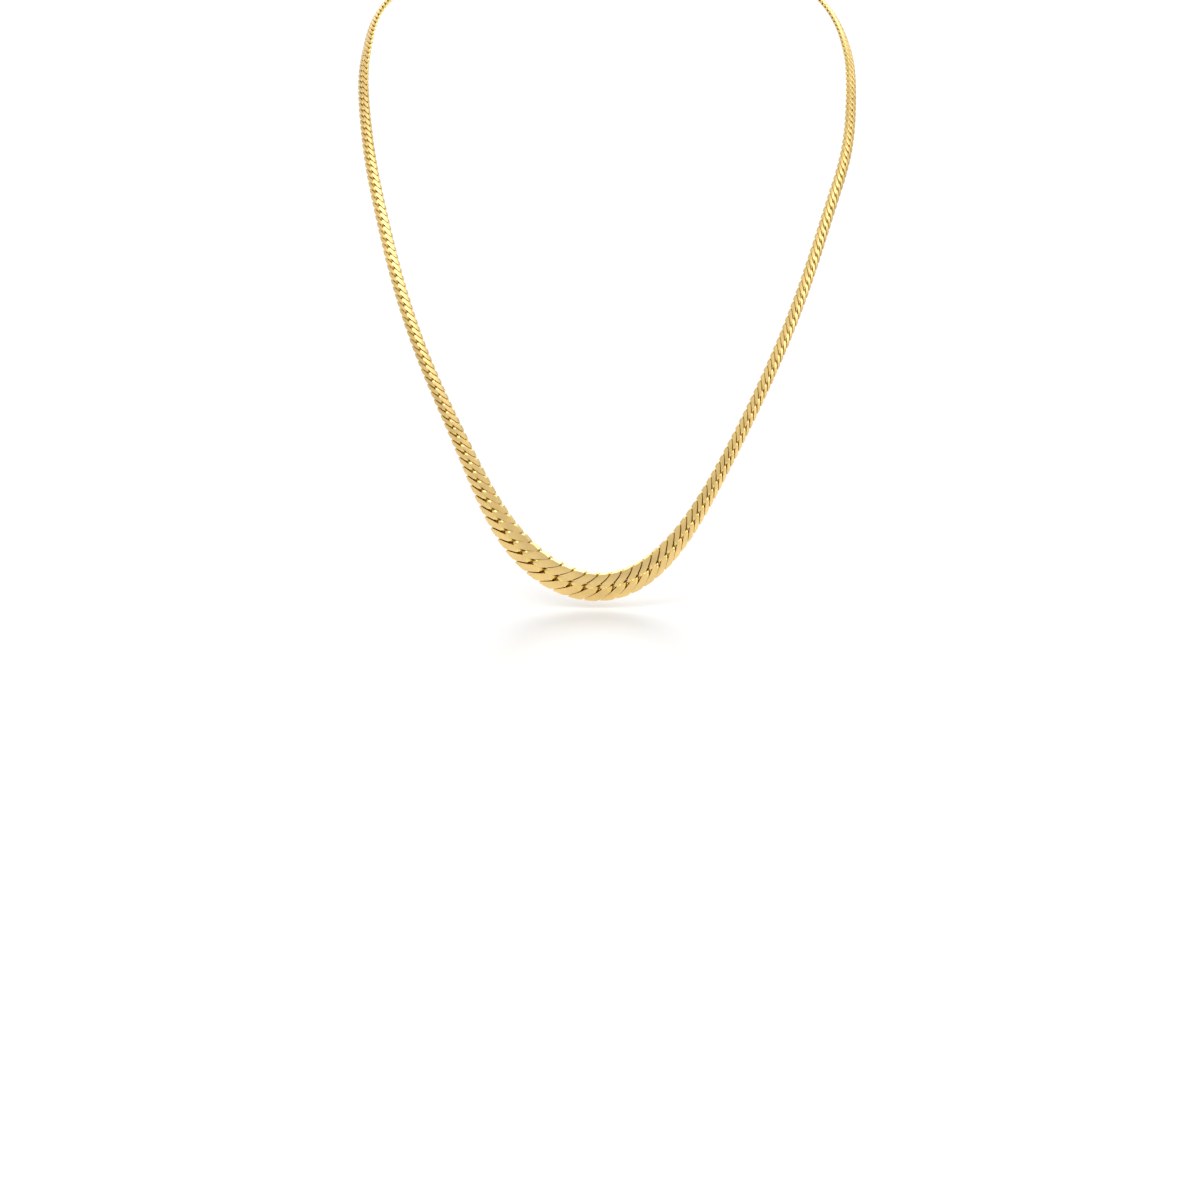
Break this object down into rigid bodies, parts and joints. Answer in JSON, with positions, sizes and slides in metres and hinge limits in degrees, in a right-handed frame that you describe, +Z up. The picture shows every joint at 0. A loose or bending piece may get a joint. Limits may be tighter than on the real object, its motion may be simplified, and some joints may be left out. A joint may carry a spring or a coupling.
{
  "type": "herringbone chain necklace",
  "caption": "Graduated flat curb necklace of pressed interlocked links, widest at the front, closed behind the neck by two rings and a plain clasp.",
  "frame": {"origin": "middle of the neck, on the level where the chain lies on the neck's sides", "axes": "+Z up the neck, -Y towards the front of the wearer, +X towards the right of someone who looks at the front"},
  "size_m": [0.1111, 0.1193, 0.1336],
  "materials": {
    "gold": "polished yellow gold plate with satin lobe faces"
  },
  "bodies": {
    "root": {"links_left": "gold", "links_right": "gold", "band_left": "gold", "band_right": "gold", "end_cap_left": "gold", "end_cap_right": "gold", "ring_left": "gold", "ring_right": "gold", "clasp": "gold"}
  },
  "joints": []
}
